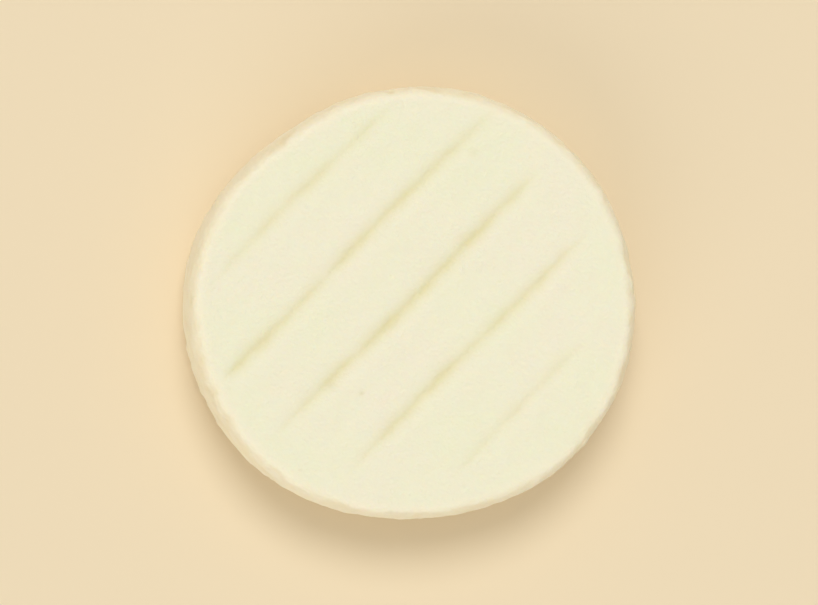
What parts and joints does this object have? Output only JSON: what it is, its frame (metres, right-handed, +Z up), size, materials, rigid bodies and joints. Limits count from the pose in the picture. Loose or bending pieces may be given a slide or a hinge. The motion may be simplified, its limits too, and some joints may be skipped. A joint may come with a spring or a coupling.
{
  "type": "goat cheese disc",
  "caption": "Small round soft goat cheese: a flat disc with rounded shoulders and shallow parallel drying-rack grooves in both faces.",
  "frame": {"origin": "on the table, under the middle of the disc's footprint", "axes": "+Z up through the disc's thickness, out of the face that shows; the grooves in that face run halfway between +X and +Y"},
  "size_m": [0.0572, 0.055, 0.0142],
  "materials": {
    "soft_goat_cheese": "pale ivory soft cheese with a faint yellow-green cast, smooth, damp and waxy, yellower in the grooves"
  },
  "bodies": {
    "root": {"cheese_disc": "soft_goat_cheese"}
  },
  "joints": []
}
